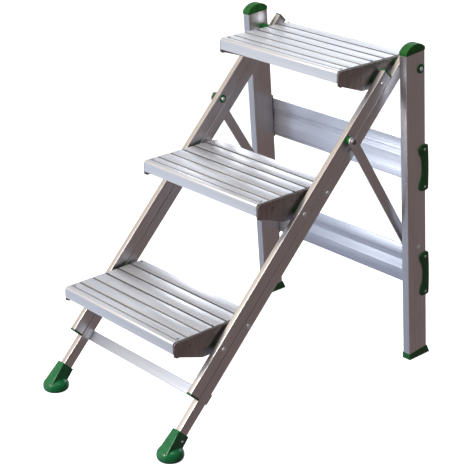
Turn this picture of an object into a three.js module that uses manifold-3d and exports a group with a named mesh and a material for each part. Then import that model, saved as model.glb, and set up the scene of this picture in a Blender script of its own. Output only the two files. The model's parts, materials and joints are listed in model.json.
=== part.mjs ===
// Folding aluminium step ladder with three deep treads. Millimetres, +Z up, +X to the climber's right,
// +Y from the climber towards the rear frame. Every piece is one closed solid in a named mesh.
//
// How it works: each side stile is a rear rail and a front rail laid face to face. The treads hang on
// both rails, so rails and treads form parallelograms. The rear rails turn about the leg pivots, which
// also carry the top tread. Folding brings the rails in line with the legs and turns the treads up
// between them, while a strut on each side ties the front rail to the leg.
import * as THREE from 'three';
import { mergeVertices } from 'three/addons/utils/BufferGeometryUtils.js';
import Module from 'manifold-3d';

const wasm = await Module();
wasm.setup();

const gap = 0.3; // clearance kept between neighbouring solids
const roundSteps = 12; // sides on a bolt or a hole
const cornerSteps = 2; // steps around the corner of a tube
const curveSteps = 5; // steps along a curved outline
const degrees = Math.PI / 180;

// ---- Driving dimensions -------------------------------------------------------------------------
const riser = 240; // from one tread top to the next
const treadCount = 3;
const railAngle = 46 * degrees; // stiles above the floor
const legLean = 5 * degrees; // legs off the vertical, feet to the rear
const railRun = 995; // rear rail from the floor to the leg pivot

const rearRail = { width: 14.8, depth: 26, corner: 1.2, wall: 1.6, start: 24, end: railRun + 33 };
const frontRail = { width: 14, depth: 29, corner: 1.4, wall: 1.5, start: 144, end: 950 };
const railCentreX = 201.2;
const railOffset = (rearRail.depth + frontRail.depth) / 2 + 0.4; // front rail ahead of rear rail

const tread = { depth: 220, halfLength: 183.5, lip: 27, rearLip: 20, wall: 2.4, pitch: 36.5 };
const plate = { thickness: 3, below: 2.5 };
const rearPivot = { y: 185.7, z: -15.4 }; // on the tread, from the top of its nose
const pivotSpan = 69.5; // front pivot below the rear pivot, measured along the rails

const leg = { width: 21, depth: 60, corner: 2.5, wall: 1.8, ahead: 45, bottom: -698.7, top: 39 };
const legCentreX = 245;
const legPivotHeight = railRun * Math.sin(railAngle);

const panel = { height: 97, front: 15.6, rear: 19.8, halfLength: 252.5, centres: [-236, -503.5] };
const bumper = { height: 112, front: -7.5, waist: 4.5, rear: 21.4, cheek: 3.3 };
const crossbar = { width: 24, thickness: 5, halfLength: 207, along: 154 };

const strut = { width: 24, thickness: 4, x: 218.7, along: 779.8, pivotHeight: 288.8, pivotAhead: 33 };
const bolt = { small: 3.2, large: 4, clearance: 0.3 };

// ---- Materials ----------------------------------------------------------------------------------
const aluminium = new THREE.MeshStandardMaterial({ color: 0xc9cacd, roughness: 0.35, metalness: 1 });
const brushed = new THREE.MeshStandardMaterial({ color: 0xd9dbe0, roughness: 0.45, metalness: 1 });
const plastic = new THREE.MeshStandardMaterial({ color: 0x1f8a35, roughness: 0.4, metalness: 0 });
const zinc = new THREE.MeshStandardMaterial({ color: 0xd5d8da, roughness: 0.25, metalness: 1 });

// ---- Solids: cutting and joining ----------------------------------------------------------------
function toSolid(geometry) {
  const bare = geometry.clone();
  bare.deleteAttribute('normal');
  bare.deleteAttribute('uv');
  const merged = mergeVertices(bare, 1e-4);
  return new wasm.Manifold(new wasm.Mesh({
    numProp: 3,
    vertProperties: new Float32Array(merged.attributes.position.array),
    triVerts: new Uint32Array(merged.index.array),
  }));
}

function toGeometry(solid) {
  const mesh = solid.getMesh();
  const geometry = new THREE.BufferGeometry();
  geometry.setAttribute('position', new THREE.BufferAttribute(new Float32Array(mesh.vertProperties), 3));
  geometry.setIndex(new THREE.BufferAttribute(new Uint32Array(mesh.triVerts), 1));
  geometry.computeVertexNormals();
  return geometry;
}

function join(...geometries) {
  return toGeometry(geometries.map(toSolid).reduce((whole, piece) => whole.add(piece)));
}

function cut(geometry, ...tools) {
  return toGeometry(tools.map(toSolid).reduce((rest, tool) => rest.subtract(tool), toSolid(geometry)));
}

function mirrorX(geometry) {
  const copy = geometry.clone().applyMatrix4(new THREE.Matrix4().makeScale(-1, 1, 1));
  const index = copy.index.array;
  for (let corner = 0; corner < index.length; corner += 3) {
    [index[corner + 1], index[corner + 2]] = [index[corner + 2], index[corner + 1]];
  }
  copy.computeVertexNormals();
  return copy;
}

// ---- Basic shapes -------------------------------------------------------------------------------
function box(from, to) {
  const size = to.map((value, axis) => value - from[axis]);
  const geometry = new THREE.BoxGeometry(...size);
  return geometry.translate(...from.map((value, axis) => value + size[axis] / 2));
}

function roundedOutline(path, width, depth, corner) {
  const x = width / 2 - corner;
  const y = depth / 2 - corner;
  path.absarc(x, y, corner, 0, Math.PI / 2);
  path.absarc(-x, y, corner, Math.PI / 2, Math.PI);
  path.absarc(-x, -y, corner, Math.PI, 1.5 * Math.PI);
  path.absarc(x, -y, corner, 1.5 * Math.PI, 2 * Math.PI);
  path.closePath();
  return path;
}

function standing(outline, from, to) {
  const settings = { depth: to - from, bevelEnabled: false, curveSegments: cornerSteps };
  return new THREE.ExtrudeGeometry(outline, settings).translate(0, 0, from);
}

// Upright bar of rounded rectangular section, from one height to another.
function bar(width, depth, corner, from, to) {
  const outline = roundedOutline(new THREE.Shape(), width, depth, corner);
  return standing(outline, from, to);
}

function tube({ width, depth, corner, wall }, from, to) {
  const outline = roundedOutline(new THREE.Shape(), width, depth, corner);
  const inner = Math.max(corner - wall, 0.6);
  outline.holes.push(roundedOutline(new THREE.Path(), width - 2 * wall, depth - 2 * wall, inner));
  return standing(outline, from, to);
}

function polygon(points) {
  return new THREE.Shape(points.map(([y, z]) => new THREE.Vector2(y, z)));
}

// Outline in the side view, [y, z] points or a Shape, given thickness across the ladder.
function sideProfile(outline, fromX, toX) {
  const shape = Array.isArray(outline) ? polygon(outline) : outline;
  const settings = { depth: toX - fromX, bevelEnabled: false, curveSegments: curveSteps };
  const geometry = new THREE.ExtrudeGeometry(shape, settings);
  const sideways = new THREE.Matrix4().makeBasis(
    new THREE.Vector3(0, 1, 0), new THREE.Vector3(0, 0, 1), new THREE.Vector3(1, 0, 0));
  return geometry.applyMatrix4(sideways).translate(fromX, 0, 0);
}

// Round piece across the ladder, turned from [radius, x] points that start and end on the axis.
function turned(points) {
  const profile = points.map(([radius, x]) => new THREE.Vector2(radius, x));
  return new THREE.LatheGeometry(profile, roundSteps).rotateZ(-Math.PI / 2);
}

function rod(radius, fromX, toX, y, z) {
  return turned([[0, fromX], [radius, fromX], [radius, toX], [0, toX]]).translate(0, y, z);
}

// Bolt lying across the ladder: domed head at its outer end, plain shank, nut at its inner end.
function boltShape(radius, headX, nutX, headRadius, nutRadius) {
  const headHeight = 3;
  const nutHeight = 4.5;
  return turned([
    [0, nutX], [nutRadius, nutX], [nutRadius, nutX + nutHeight], [radius, nutX + nutHeight],
    [radius, headX], [headRadius, headX], [headRadius * 0.93, headX + headHeight * 0.5],
    [headRadius * 0.62, headX + headHeight * 0.9], [0, headX + headHeight],
  ]);
}

function ring(outer, inner, fromX, toX) {
  return turned([[inner, fromX], [outer, fromX], [outer, toX], [inner, toX], [inner, fromX]]);
}

// ---- Groups that carry the pieces ---------------------------------------------------------------
const ladder = new THREE.Group();
const pivotY = railRun * Math.cos(railAngle);

function groupAt(y, z, turn) {
  const group = new THREE.Group();
  group.position.set(0, y, z);
  group.rotation.x = turn;
  ladder.add(group);
  return group;
}

// In both groups z runs along the bars with its zero at the leg pivot, and y points to the rear.
const legs = groupAt(pivotY, legPivotHeight, legLean);
const rails = groupAt(pivotY, legPivotHeight, railAngle - Math.PI / 2);

function add(group, name, geometry, material) {
  const mesh = new THREE.Mesh(geometry, material);
  mesh.name = name;
  group.add(mesh);
}

// Adds the right-hand piece as drawn and its mirror image on the left.
function addPair(group, name, geometry, material) {
  add(group, `${name}_right`, geometry, material);
  add(group, `${name}_left`, mirrorX(geometry), material);
}

// ---- Positions worked out from the driving dimensions -------------------------------------------
const treadPitchAlong = riser / Math.sin(railAngle);
const treadNames = ['bottom', 'middle', 'top'];
const rearPivots = treadNames.map((_, index) => (index - treadCount + 1) * treadPitchAlong);
const frontPivots = rearPivots.map((along) => along - pivotSpan);
const strutUpper = strut.along - railRun;
const strutLowerY = strut.pivotAhead - leg.ahead;
const strutLowerZ =
  (strut.pivotHeight - legPivotHeight - strutLowerY * Math.sin(legLean)) / Math.cos(legLean);
const rearRailFace = railCentreX + rearRail.width / 2;
const frontRailFace = railCentreX + frontRail.width / 2;
const legInner = legCentreX - leg.width / 2;
const legOuter = legCentreX + leg.width / 2;
const legMiddle = leg.depth / 2 - leg.ahead;
const plateInner = tread.halfLength + gap;
const plateOuter = plateInner + plate.thickness;
const nutStart = plateInner - gap - 4.5;

function hole(radius, fromX, toX, y, z) {
  return rod(radius + bolt.clearance, fromX - 1, toX + 1, y, z);
}

// ---- Rear frame: legs, caps, feet, cross panels and their bumpers -------------------------------
function legTube() {
  const body = tube(leg, leg.bottom, leg.top).translate(legCentreX, legMiddle, 0);
  return cut(body,
    hole(bolt.large, legInner, legOuter, 0, 0),
    hole(bolt.large, legInner, legOuter, strutLowerY, strutLowerZ));
}

// Cap with a short skirt and a top that arches from front to back, and a plug inside the tube.
function legCap() {
  const overhang = 0.6;
  const reach = leg.depth / 2 + overhang;
  const skirt = 7;
  const crown = 20;
  const outline = new THREE.Shape();
  outline.moveTo(-reach, 0);
  outline.lineTo(reach, 0);
  outline.lineTo(reach, skirt);
  outline.quadraticCurveTo(reach * 0.62, crown, 0, crown);
  outline.quadraticCurveTo(-reach * 0.62, crown, -reach, skirt);
  const half = leg.width / 2 + overhang;
  const dome = sideProfile(outline, -half, half);
  const plug = bar(leg.width - 2 * leg.wall - 1, leg.depth - 2 * leg.wall - 1, 1.2, -18, 1);
  return join(dome, plug).translate(legCentreX, legMiddle, leg.top + gap);
}

// Foot shoe: level underneath, square to the tube on top, with a heel that reaches out behind.
function legFoot() {
  const overhang = 1;
  const heel = 9;
  const half = leg.width / 2 + overhang;
  const front = -leg.depth / 2 - overhang;
  const rear = leg.depth / 2 + overhang;
  const depth = 30;
  const heelRun = heel * depth / (leg.bottom + legPivotHeight);
  const shoe = sideProfile([[front, 0], [rear, 0], [rear + heelRun, -depth], [front, -depth]], -half, half);
  const plug = bar(leg.width - 2 * leg.wall - 1, leg.depth - 2 * leg.wall - 1, 1.2, -1, 22);
  const leaning = join(shoe, plug).translate(legCentreX, legMiddle, leg.bottom - gap);
  leaning.rotateX(legLean).translate(0, pivotY, legPivotHeight);
  const floor = box([legCentreX - 50, pivotY - 400, -100], [legCentreX + 50, pivotY + 400, 0]);
  const level = cut(leaning, floor);
  return level.translate(0, -pivotY, -legPivotHeight).rotateX(-legLean);
}

// Stepped channel: flat upper band, sunk groove, sloping band, and a lower band that stands forward.
function crossPanel() {
  const top = panel.height / 2;
  const wall = 1.4;
  const face = panel.front;
  const band = face + 0.7;
  const groove = face + 2.3;
  const front = [
    [band, top], [band, top - 27], [groove - 0.6, top - 28], [groove, top - 42],
    [face, top - 65], [face, -top],
  ];
  const back = [
    [face + wall, -top + wall], [face + wall, top - 66], [groove + wall, top - 43],
    [groove + wall - 0.6, top - 27], [band + wall, top - 26], [band + wall, top - wall],
  ];
  const outline = [
    [panel.rear, top], ...front, [panel.rear, -top],
    [panel.rear, -top + wall], ...back, [panel.rear, top - wall],
  ];
  return sideProfile(outline.reverse(), -panel.halfLength, panel.halfLength);
}

// Waisted plate on the leg's outer face that wraps behind the leg and closes the panel's end.
function panelBumper() {
  const half = bumper.height / 2;
  const lobe = 18;
  const outline = new THREE.Shape();
  outline.moveTo(bumper.rear, -half + 6);
  outline.quadraticCurveTo(bumper.rear + 3, 0, bumper.rear, half - 6);
  outline.quadraticCurveTo(bumper.rear, half, bumper.rear - 9, half);
  outline.quadraticCurveTo(bumper.front, half, bumper.front, half - lobe * 0.55);
  outline.quadraticCurveTo(bumper.front, half - lobe, bumper.waist - 6, half - lobe * 1.5);
  outline.quadraticCurveTo(bumper.waist, half - lobe * 2, bumper.waist, 0);
  outline.quadraticCurveTo(bumper.waist, -half + lobe * 2, bumper.waist - 6, -half + lobe * 1.5);
  outline.quadraticCurveTo(bumper.front, -half + lobe, bumper.front, -half + lobe * 0.55);
  outline.quadraticCurveTo(bumper.front, -half, bumper.rear - 9, -half);
  outline.quadraticCurveTo(bumper.rear, -half, bumper.rear, -half + 6);
  const wrap = panel.front + 0.2;
  const whole = sideProfile(outline, legInner + 2, legOuter + gap + bumper.cheek);
  const legSpace = box(
    [legInner - 1, bumper.front - 1, -half - 1], [legOuter + gap, wrap, half + 1]);
  const panelHalf = panel.height / 2 + gap;
  const panelSpace = box(
    [legInner, panel.front - gap, -panelHalf], [panel.halfLength + gap, panel.rear + gap, panelHalf]);
  const mouth = box(
    [legInner, panel.front - gap, -panelHalf], [legInner + 12, panel.rear + 5, panelHalf]);
  return cut(whole, legSpace, panelSpace, mouth);
}

// ---- Climbing frame: rear rails, their feet, plugs and crossbar ---------------------------------
function rearRailTube() {
  const body = tube(rearRail, rearRail.start - railRun, rearRail.end - railRun).translate(railCentreX, 0, 0);
  const inner = railCentreX - rearRail.width / 2;
  const radii = [bolt.small, bolt.small, bolt.large];
  return cut(body, ...rearPivots.map((along, index) => hole(radii[index], inner, rearRailFace, 0, along)));
}

function endPlug(section, thickness, depth) {
  const flange = bar(section.width + 1, section.depth, section.corner, 0, thickness);
  const inset = 2 * section.wall + 1;
  const insert = bar(section.width - inset, section.depth - inset, 0.8, -depth, 1);
  return join(flange, insert);
}

// Boot on the end of the rear rail: a sleeve that widens downwards, standing in a thick, domed sole.
function railFoot() {
  const foot = { width: 31, front: -19.4, rear: 3, height: 8 };
  const mouth = { width: 20.6, front: -19, rear: 17, height: 66.5 };
  const sleeve = bar(1, 1, 0.1, 0, 1).translate(0, 0.5, 0);
  const corners = sleeve.attributes.position;
  for (let i = 0; i < corners.count; i += 1) {
    const end = corners.getZ(i) < 0.5 ? foot : mouth;
    const y = end.front + corners.getY(i) * (end.rear - end.front);
    corners.setXYZ(i, corners.getX(i) * end.width, y, end.height);
  }
  sleeve.translate(0, 0, -railRun).rotateX(railAngle - Math.PI / 2);
  sleeve.translate(railCentreX, pivotY, legPivotHeight);
  const sole = new THREE.LatheGeometry(
    [[0, 0], [26.5, 0], [29.2, 4], [29.6, 9], [28.6, 14.5], [25, 21], [18, 25], [0, 27]].map(
      ([radius, height]) => new THREE.Vector2(radius, height)), 20);
  sole.rotateX(Math.PI / 2).translate(railCentreX, 15.5, 0);
  const below = box([railCentreX - 60, -100, -60], [railCentreX + 60, 100, 0]);
  const socket = bar(rearRail.width + 2 * gap, rearRail.depth + 2 * gap, rearRail.corner,
    rearRail.start - gap - railRun, -800);
  socket.rotateX(railAngle - Math.PI / 2).translate(railCentreX, pivotY, legPivotHeight);
  const boot = cut(join(sleeve, sole), below, socket);
  return boot.translate(0, -pivotY, -legPivotHeight).rotateX(Math.PI / 2 - railAngle);
}

function railCrossbar() {
  const rear = rearRail.depth / 2 + gap;
  const along = crossbar.along - railRun;
  const section = roundedOutline(new THREE.Shape(), crossbar.thickness, crossbar.width, 1);
  return sideProfile(section, -crossbar.halfLength, crossbar.halfLength)
    .translate(0, rear + crossbar.thickness / 2, along);
}

// ---- Front rails ---------------------------------------------------------------------------------
function frontRailTube() {
  const body = tube(frontRail, frontRail.start - railRun, frontRail.end - railRun);
  body.translate(railCentreX, -railOffset, 0);
  const inner = railCentreX - frontRail.width / 2;
  const holes = frontPivots.map((along) => hole(bolt.small, inner, frontRailFace, -railOffset, along));
  return cut(body, ...holes, hole(bolt.large, inner, frontRailFace, -railOffset, strutUpper));
}

// ---- Treads ---------------------------------------------------------------------------------------
// Deck: one extrusion, its top planked by grooves, with a round nose, a front lip and a rear lip.
function treadDeck() {
  const noseRadius = 5.5;
  const points = [[tread.wall, -tread.lip], [0.8, -tread.lip], [0, -tread.lip + 1]];
  const noseSteps = 5;
  for (let step = 0; step <= noseSteps; step += 1) {
    const turn = (step / noseSteps) * Math.PI / 2;
    points.push([noseRadius * (1 - Math.cos(turn)), noseRadius * (Math.sin(turn) - 1)]);
  }
  const grooves = [[15.5, 0.8]];
  for (let place = 38.5; place < tread.depth - 10; place += tread.pitch) {
    grooves.push([place, 2]);
  }
  for (const [place, depth] of grooves) {
    points.push([place - 2.4, 0], [place - 1.4, -depth], [place + 1.4, -depth], [place + 2.4, 0]);
  }
  points.push([tread.depth - 4, 0], [tread.depth - 1.2, -1.2], [tread.depth, -4]);
  points.push([tread.depth, -tread.rearLip], [tread.depth - tread.wall, -tread.rearLip]);
  points.push([tread.depth - tread.wall, -6]);
  points.push([tread.depth - 6, -tread.wall - 1], [noseRadius + 1, -tread.wall - 1]);
  points.push([tread.wall + 1.2, -6], [tread.wall, -noseRadius - 2]);
  const outline = points.reverse().map(([y, z]) => [y - rearPivot.y, z - rearPivot.z]);
  return sideProfile(outline, -tread.halfLength, tread.halfLength);
}

// End plate: shallow at the nose, deepest under the front pivot, and tapering up to the rear edge.
function treadEndPlate(rearBolt) {
  const front = frontPivotOnTread();
  const low = front.z - 13.5;
  const top = -plate.below - rearPivot.z;
  const nose = 1.2 - rearPivot.y;
  const rear = tread.depth - 1.5 - rearPivot.y;
  const outline = [
    [nose + 2.8, top], [nose, top - 5], [nose, -30 - rearPivot.z],
    [nose + 7.8, -35 - rearPivot.z], [nose + 76.8, low], [front.y + 6, low],
    [front.y + 17, low + 6], [20, -13], [rear - 2.5, -8], [rear, -2], [rear, top - 2], [rear - 2.5, top],
  ];
  return cut(sideProfile(outline, plateInner, plateOuter),
    hole(rearBolt, plateInner, plateOuter, 0, 0),
    hole(bolt.small, plateInner, plateOuter, front.y, front.z));
}

function frontPivotOnTread() {
  return {
    y: -pivotSpan * Math.cos(railAngle) - railOffset * Math.sin(railAngle),
    z: -pivotSpan * Math.sin(railAngle) + railOffset * Math.cos(railAngle),
  };
}

// ---- Struts ---------------------------------------------------------------------------------------
const strutGeometryFrame = (() => {
  const upper = new THREE.Vector3(0, -railOffset, strutUpper).applyEuler(rails.rotation).add(rails.position);
  const lower = new THREE.Vector3(0, strutLowerY, strutLowerZ).applyEuler(legs.rotation).add(legs.position);
  const span = upper.clone().sub(lower);
  return { lower, length: span.length(), turn: Math.atan2(-span.y, span.z) };
})();

function strutBar() {
  const half = strut.width / 2;
  const outline = new THREE.Shape();
  outline.absarc(0, strutGeometryFrame.length, half, 0, Math.PI);
  outline.absarc(0, 0, half, Math.PI, 2 * Math.PI);
  outline.closePath();
  const end = strut.x + strut.thickness;
  return cut(sideProfile(outline, strut.x, end),
    hole(bolt.large, strut.x, end, 0, 0),
    hole(bolt.large, strut.x, end, 0, strutGeometryFrame.length));
}

// ---- Assembly -------------------------------------------------------------------------------------
function addRearFrame() {
  addPair(legs, 'rear_leg', legTube(), aluminium);
  addPair(legs, 'leg_top_cap', legCap(), plastic);
  addPair(legs, 'leg_foot', legFoot(), plastic);
  ['upper', 'lower'].forEach((level, index) => {
    const height = panel.centres[index];
    add(legs, `${level}_cross_panel`, crossPanel().translate(0, 0, height), brushed);
    addPair(legs, `${level}_panel_bumper`, panelBumper().translate(0, 0, height), plastic);
  });
  const pivotBolt = boltShape(bolt.large, legOuter + gap, nutStart, 7.5, 7);
  addPair(legs, 'leg_pivot_bolt', pivotBolt, zinc);
  const bore = bolt.large + bolt.clearance;
  addPair(legs, 'leg_pivot_spacer', ring(7.5, bore, rearRailFace + gap, legInner - gap), plastic);
  const strutBolt = boltShape(bolt.large, legOuter + gap, strut.x - gap - 4.5, 6.5, 6.5);
  addPair(legs, 'strut_lower_bolt', strutBolt.translate(0, strutLowerY, strutLowerZ), zinc);
  const strutEnd = strut.x + strut.thickness;
  const strutSpacer = ring(8, bore, strutEnd + gap, legInner - gap);
  addPair(legs, 'strut_lower_spacer', strutSpacer.translate(0, strutLowerY, strutLowerZ), plastic);
}

function addClimbingFrame() {
  addPair(rails, 'rear_rail', rearRailTube(), aluminium);
  addPair(rails, 'rail_foot', railFoot(), plastic);
  const plug = endPlug(rearRail, 3, 16).translate(railCentreX, 0, rearRail.end - railRun + gap);
  addPair(rails, 'rear_rail_top_plug', plug, plastic);
  add(rails, 'rail_crossbar', railCrossbar(), brushed);
  treadNames.slice(0, -1).forEach((name, index) => {
    const shape = boltShape(bolt.small, rearRailFace + gap, nutStart, 5, 5.5);
    addPair(rails, `${name}_tread_rear_bolt`, shape.translate(0, 0, rearPivots[index]), zinc);
  });
}

function addFrontRails() {
  addPair(rails, 'front_rail', frontRailTube(), aluminium);
  const topPlug = endPlug(frontRail, 4, 16);
  topPlug.translate(railCentreX, -railOffset, frontRail.end - railRun + gap);
  addPair(rails, 'front_rail_top_plug', topPlug, plastic);
  const bottomPlug = endPlug(frontRail, 4, 16).rotateY(Math.PI);
  bottomPlug.translate(railCentreX, -railOffset, frontRail.start - railRun - gap);
  addPair(rails, 'front_rail_bottom_plug', bottomPlug, plastic);
  treadNames.forEach((name, index) => {
    const shape = boltShape(bolt.small, frontRailFace + gap, nutStart, 5, 5.5);
    addPair(rails, `${name}_tread_front_bolt`, shape.translate(0, -railOffset, frontPivots[index]), zinc);
  });
  const spacer = ring(9.5, bolt.large + bolt.clearance, frontRailFace + gap, strut.x - gap);
  addPair(rails, 'strut_upper_spacer', spacer.translate(0, -railOffset, strutUpper), plastic);
  const headX = railCentreX - frontRail.width / 2 - gap;
  const innerBolt = turned([
    [0, headX - 4.5], [4.5, headX - 4], [6.5, headX - 2.5], [6.5, headX], [bolt.large, headX],
    [bolt.large, strut.x - gap], [0, strut.x - gap],
  ]);
  addPair(rails, 'strut_upper_bolt', innerBolt.translate(0, -railOffset, strutUpper), zinc);
}

function addTreads() {
  treadNames.forEach((name, index) => {
    const along = rearPivots[index];
    const y = pivotY + along * Math.cos(railAngle);
    const group = groupAt(y, legPivotHeight + along * Math.sin(railAngle), 0);
    const rearBolt = index === treadCount - 1 ? bolt.large : bolt.small;
    add(group, `${name}_tread_deck`, treadDeck(), brushed);
    addPair(group, `${name}_tread_end_plate`, treadEndPlate(rearBolt), aluminium);
  });
}

function addStruts() {
  const { lower, length, turn } = strutGeometryFrame;
  const group = groupAt(lower.y, lower.z, turn);
  addPair(group, 'strut', strutBar(), aluminium);
  const face = strut.x + strut.thickness + gap;
  const nut = turned([
    [0, strut.x], [bolt.large, strut.x], [bolt.large, face], [9, face], [9, face + 1.5],
    [6.5, face + 1.7], [6.2, face + 4.5], [3.5, face + 6], [0, face + 6.3],
  ]);
  addPair(group, 'strut_upper_nut', nut.translate(0, 0, length), zinc);
}

addRearFrame();
addClimbingFrame();
addFrontRails();
addTreads();
addStruts();

// The origin is on the floor, in the middle of the standing ladder's footprint.
ladder.updateMatrixWorld(true);
const footprint = new THREE.Box3().setFromObject(ladder, true);
ladder.position.y = -(footprint.min.y + footprint.max.y) / 2;

export default ladder;
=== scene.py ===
"""Looks of the folding aluminium step ladder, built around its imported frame.

Shapes are drawn in millimetres in the frame of the group that carries them: x goes across the ladder,
y to the rear, and z up, or along the bars of a leaning group. A group's place comes from the joints.
"""
import json
import math

import bmesh
import bpy
from mathutils import Matrix, Vector


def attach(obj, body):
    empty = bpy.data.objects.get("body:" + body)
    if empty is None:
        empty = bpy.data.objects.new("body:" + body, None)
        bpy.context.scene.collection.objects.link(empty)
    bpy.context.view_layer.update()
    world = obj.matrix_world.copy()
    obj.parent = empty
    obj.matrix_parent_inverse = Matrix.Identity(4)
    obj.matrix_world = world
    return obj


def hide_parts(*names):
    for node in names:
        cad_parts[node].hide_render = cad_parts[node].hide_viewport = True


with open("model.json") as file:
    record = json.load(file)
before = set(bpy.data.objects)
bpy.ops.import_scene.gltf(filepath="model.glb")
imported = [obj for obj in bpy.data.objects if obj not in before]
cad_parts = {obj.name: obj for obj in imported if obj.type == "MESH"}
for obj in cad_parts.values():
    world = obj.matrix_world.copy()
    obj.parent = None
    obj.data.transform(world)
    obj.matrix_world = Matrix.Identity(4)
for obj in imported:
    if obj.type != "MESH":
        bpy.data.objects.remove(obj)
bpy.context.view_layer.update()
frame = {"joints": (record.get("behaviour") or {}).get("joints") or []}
MM = 0.001

# ---- Driving dimensions, in millimetres ----------------------------------------------------------
RAIL_ANGLE = math.radians(46)
LEG_LEAN = math.radians(5)
RAIL_RUN = 995  # rear rail from the floor to the leg pivot
GAP = 0.3

REAR_RAIL = {"width": 14.8, "depth": 26, "corner": 1.8, "wall": 1.6, "start": 24, "end": RAIL_RUN + 33,
             "flange": 3}
FRONT_RAIL = {"width": 14, "depth": 29, "corner": 1.8, "wall": 1.5, "start": 144, "end": 950,
              "flange": 4}
PLUG_DEPTH = 16
RAIL_X = 201.2
RAIL_OFFSET = (REAR_RAIL["depth"] + FRONT_RAIL["depth"]) / 2 + 0.4

TREAD_DEPTH = 220
TREAD_HALF = 183.5
TREAD_LIP = 27
TREAD_REAR_LIP = 20
TREAD_WALL = 2.4
GROOVE = {"first": 38.5, "pitch": 36.5, "count": 5, "half": 3.4, "depth": 2.2}
NOSE_GROOVE = {"at": 15.5, "half": 2, "depth": 0.9}
NOSE_RADIUS = 5.5
PLATE_INNER = TREAD_HALF + GAP
PLATE_OUTER = PLATE_INNER + 3
REAR_PIVOT_Y = 185.7  # behind the tread's nose
REAR_PIVOT_Z = -15.4  # below the tread's top
PIVOT_SPAN = 69.5  # between a tread's two pivots, along the rails

LEG = {"width": 21, "depth": 60, "corner": 2.5, "wall": 1.8}
LEG_X = 245
LEG_AHEAD = 45  # leg's front face ahead of its pivot
LEG_BOTTOM = -698.7
LEG_TOP = 39
LEG_MIDDLE = LEG["depth"] / 2 - LEG_AHEAD
LEG_INNER = LEG_X - LEG["width"] / 2
LEG_OUTER = LEG_X + LEG["width"] / 2

PANEL_HEIGHT = 97
PANEL_WALL = 1.4
PANEL_FRONT = 15.6
PANEL_REAR = 19.8
PANEL_HALF = 252.5
PANEL_CENTRES = {"upper": -236, "lower": -503.5}

BUMPER = {"half": 56, "front": -7.5, "waist": 4.5, "rear": 21.4, "lobe": 18, "cheek": 3.3,
          "rivet_y": 8.5, "rivet_inset": 10.5}

CROSSBAR = {"width": 24, "thickness": 5, "half": 207, "along": 154}
STRUT = {"width": 24, "thickness": 4, "x": 218.7, "along": 779.8}
SMALL_BOLT = 3.2
LARGE_BOLT = 4
NUT_HEIGHT = 4.5
TREAD_BOLT = {"radius": SMALL_BOLT, "head_radius": 5.2, "head_height": 4.2, "nut_across": 10}
LEG_BOLT = {"radius": LARGE_BOLT, "head_radius": 5, "head_height": 2.6, "nut_across": 13}
STRUT_BOLT = {"radius": LARGE_BOLT, "head_radius": 5.5, "head_height": 3, "nut_across": 12}
PIVOT_DISC = {"radius": 10.5, "thickness": 2}
SPACER_RADIUS = {"leg_pivot": 7.5, "strut_lower": 8, "strut_upper": 9.5}
BUSH_RADIUS = 8.5
DECK_SCREW = {"radius": 3.2, "thickness": 0.5, "proud": 0.12, "inset": 8, "rows": (21, 113, 211)}
PLATE_SCREW = {"behind_nose": 43.5, "below_top": 19}

TREADS = ("bottom", "middle", "top")
RIGHT, LEFT = 1, -1
SIDES = (("right", RIGHT), ("left", LEFT))

REAR_RAIL_FACE = RAIL_X + REAR_RAIL["width"] / 2
FRONT_RAIL_FACE = RAIL_X + FRONT_RAIL["width"] / 2
TREAD_SPACING = 240 / math.sin(RAIL_ANGLE)
REAR_PIVOTS = {name: (i - 2) * TREAD_SPACING for i, name in enumerate(TREADS)}
FRONT_PIVOTS = {name: along - PIVOT_SPAN for name, along in REAR_PIVOTS.items()}
NUT_START = PLATE_INNER - GAP - NUT_HEIGHT
STRUT_UPPER = STRUT["along"] - RAIL_RUN


# ---- Places of the groups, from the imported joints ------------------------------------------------
def joint_point(name):
    for joint in frame["joints"]:
        if joint["name"] == name:
            return Vector(joint["pos_m"])
    raise KeyError(name)


def place(point, turn):
    return Matrix.Translation(point) @ Matrix.Rotation(turn, 4, "X")


LEG_PIVOT = joint_point("fold")
STRUT_FOOT = joint_point("strut_swing")
LEGS = place(LEG_PIVOT, LEG_LEAN)
RAILS = place(LEG_PIVOT, RAIL_ANGLE - math.pi / 2)
TREAD_PLACES = {name: place(joint_point(name + "_tread_tilt"), 0) for name in TREADS}
STRUT_HEAD = RAILS @ (Vector((0, -RAIL_OFFSET, STRUT_UPPER)) * MM)
STRUT_SPAN = STRUT_HEAD - STRUT_FOOT
STRUTS = place(STRUT_FOOT, math.atan2(-STRUT_SPAN.y, STRUT_SPAN.z))
STRUT_LENGTH = STRUT_SPAN.length / MM
STRUT_LOWER = (LEGS.inverted() @ STRUT_FOOT) / MM


def new_object(name, data):
    made = bpy.data.objects.new(name, data)
    bpy.context.scene.collection.objects.link(made)
    return made


# ---- Outlines ------------------------------------------------------------------------------------
def rounded(points, radius, steps=4):
    """Closed outline with its corners turned into arcs. A point's third value is a radius of its own."""
    result = []
    count = len(points)
    for i, point in enumerate(points):
        corner = Vector(point[:2])
        r = point[2] if len(point) > 2 else radius
        to_last = Vector(points[i - 1][:2]) - corner
        to_next = Vector(points[(i + 1) % count][:2]) - corner
        angle = to_last.angle(to_next)
        if r < 1e-6 or angle > math.pi - 0.02:
            result.append(corner)
            continue
        run = min(r / math.tan(angle / 2), to_last.length * 0.49, to_next.length * 0.49)
        radius_here = run * math.tan(angle / 2)
        a, b = to_last.normalized(), to_next.normalized()
        centre = corner + (a + b).normalized() * math.hypot(run, radius_here)
        start = corner + a * run - centre
        end = corner + b * run - centre
        sweep = start.angle_signed(end)
        for step in range(steps + 1):
            turn = -sweep * step / steps
            result.append(centre + Matrix.Rotation(turn, 2) @ start)
    return result


def rectangle(width, depth, corner, steps=5):
    x, y = width / 2, depth / 2
    return rounded([(-x, -y), (x, -y), (x, y), (-x, y)], corner, steps)


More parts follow.
